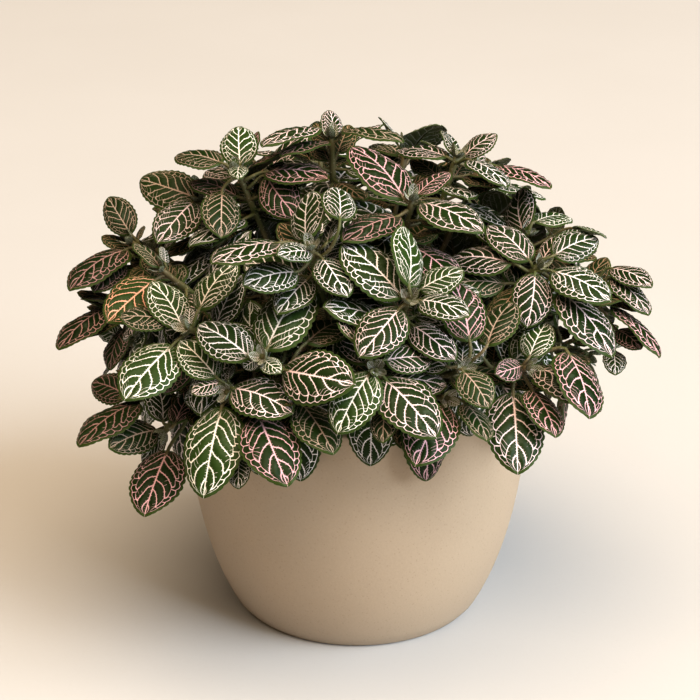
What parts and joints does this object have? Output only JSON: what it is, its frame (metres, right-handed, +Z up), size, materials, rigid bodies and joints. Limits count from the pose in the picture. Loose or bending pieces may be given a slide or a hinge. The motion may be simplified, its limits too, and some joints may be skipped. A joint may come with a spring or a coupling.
{
  "type": "potted nerve plant",
  "caption": "Low dome of nerve plant leaves with pink and white veins, on leafy stems rooted in soil, in a round matte ceramic pot with a narrow foot.",
  "frame": {"origin": "middle of the pot's flat underside, on the surface that it stands on", "axes": "+Z up, -Y towards the front that the picture shows, +X to the right of that view"},
  "size_m": [0.2381, 0.2154, 0.2023],
  "materials": {
    "pot": "matte",
    "soil": "matte",
    "foliage": "satin"
  },
  "bodies": {
    "root": {"pot": "pot", "soil": "soil", "leafy_stem_01": "foliage", "leafy_stem_02": "foliage", "leafy_stem_03": "foliage", "leafy_stem_04": "foliage", "leafy_stem_05": "foliage", "leafy_stem_06": "foliage", "leafy_stem_07": "foliage", "leafy_stem_08": "foliage", "leafy_stem_09": "foliage", "leafy_stem_10": "foliage", "leafy_stem_11": "foliage", "leafy_stem_12": "foliage", "leafy_stem_13": "foliage", "leafy_stem_14": "foliage", "leafy_stem_15": "foliage", "leafy_stem_16": "foliage", "leafy_stem_17": "foliage", "leafy_stem_18": "foliage", "leafy_stem_19": "foliage", "leafy_stem_20": "foliage", "leafy_stem_21": "foliage", "leafy_stem_22": "foliage", "leafy_stem_23": "foliage", "leafy_stem_24": "foliage", "leafy_stem_25": "foliage", "leafy_stem_26": "foliage", "leafy_stem_27": "foliage", "leafy_stem_28": "foliage", "leafy_stem_29": "foliage", "leafy_stem_30": "foliage", "leafy_stem_31": "foliage", "leafy_stem_32": "foliage", "leafy_stem_33": "foliage", "leafy_stem_34": "foliage", "leafy_stem_35": "foliage", "leafy_stem_36": "foliage", "leafy_stem_37": "foliage", "leafy_stem_38": "foliage", "leafy_stem_39": "foliage", "leafy_stem_40": "foliage", "leafy_stem_41": "foliage", "leafy_stem_42": "foliage"}
  },
  "joints": []
}
